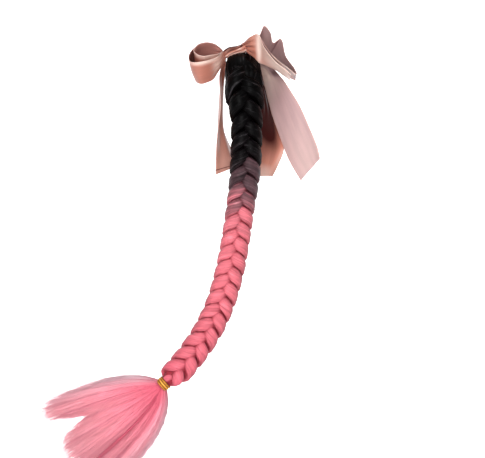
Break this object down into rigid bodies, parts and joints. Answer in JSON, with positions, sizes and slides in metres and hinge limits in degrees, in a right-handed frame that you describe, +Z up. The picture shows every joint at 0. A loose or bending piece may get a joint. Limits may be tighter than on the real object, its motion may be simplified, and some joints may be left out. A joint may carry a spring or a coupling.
{
  "type": "helmet ponytail",
  "caption": "Plaited false-hair ponytail shading from black to pink, with a satin ribbon bow at its root and a loose tassel below a gold tie, worn on a helmet by a round fastening pad.",
  "frame": {"origin": "Middle of the fastening pad's flat back face, where it sits on the helmet.", "axes": "+Z up along the hanging ponytail, +Y out of the pad's back towards the helmet, -Y towards the viewer, +X to the viewer's right."},
  "size_m": [0.3937, 0.1077, 0.6431],
  "materials": {
    "pad": "matt hook-and-loop felt",
    "ribbon": "dusty rose satin",
    "hair": "synthetic fibre, black at the root shading through mauve to pink",
    "tie": "gold elastic"
  },
  "bodies": {
    "root": {"fastening_pad": "pad", "ribbon_wrap": "ribbon", "strand_1": "hair", "strand_2": "hair", "strand_3": "hair", "hair_tie": "tie", "tassel": "hair", "bow_knot": "ribbon", "loop_left_inner": "ribbon", "loop_left_outer": "ribbon", "loop_right_inner": "ribbon", "loop_right_outer": "ribbon", "tail_left": "ribbon", "tail_right_front": "ribbon", "tail_right_back": "ribbon"}
  },
  "joints": []
}
